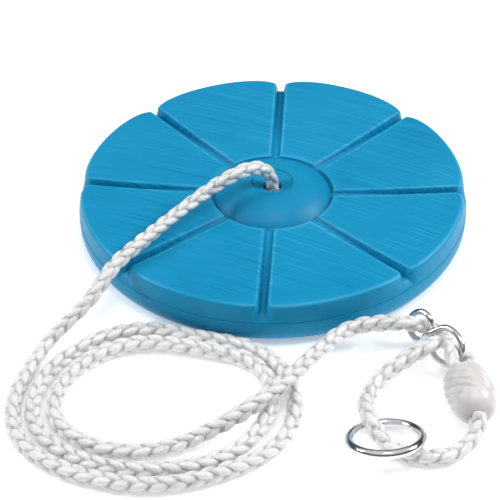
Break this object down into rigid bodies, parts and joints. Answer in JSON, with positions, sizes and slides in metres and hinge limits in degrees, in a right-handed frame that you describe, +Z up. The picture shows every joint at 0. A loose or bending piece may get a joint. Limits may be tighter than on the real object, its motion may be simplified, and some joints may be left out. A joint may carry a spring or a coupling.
{
  "type": "disc rope swing",
  "caption": "Round moulded disc seat with radial grooves on a braided rope through its centre, with a wire adjuster, a suspension ring and a rope clamp at the far end.",
  "frame": {"origin": "centre of the seat's flat base, on the axis of its hole", "axes": "+Z up along the seat's hole; the rope is laid out towards -Y; the seat's grooves lie on X, Y and their diagonals"},
  "size_m": [0.3174, 0.4252, 0.0612],
  "materials": {
    "seat_plastic": "satin",
    "rope": "braided",
    "plated_steel": "polished",
    "zinc_steel": "satin",
    "clear_plastic": "translucent"
  },
  "bodies": {
    "seat": {"seat_shell": "seat_plastic"},
    "rope": {"rope_lead": "rope", "rope_coil": "rope", "rope_run": "rope", "rope_bend": "rope", "rope_ring_loop": "rope", "rope_end_loop": "rope", "rope_knot": "rope", "rope_clamp": "clear_plastic"},
    "washer": {"washer": "zinc_steel"},
    "adjuster": {"adjuster_hook": "zinc_steel"},
    "ring": {"suspension_ring": "plated_steel"}
  },
  "joints": [
    {"name": "seat_turn", "type": "hinge", "parent": "seat", "child": "rope", "pos_m": [0, 0, 0.03], "axis": [0, 0, 1], "continuous": true},
    {"name": "washer_turn", "type": "hinge", "parent": "rope", "child": "washer", "pos_m": [0, 0, 0.026], "axis": [0, 0, 1], "continuous": true},
    {"name": "ring_swing", "type": "hinge", "parent": "rope", "child": "ring", "pos_m": [0.07299, -0.21811, 0.00369], "axis": [-0.9041, -0.4274, 0], "range_deg": [0, 90]},
    {"name": "adjuster_rock", "type": "hinge", "parent": "rope", "child": "adjuster", "pos_m": [0.113, -0.1426, 0.0168], "axis": [0.3523, 0.2622, 0.8984], "range_deg": [-2, 2]}
  ]
}
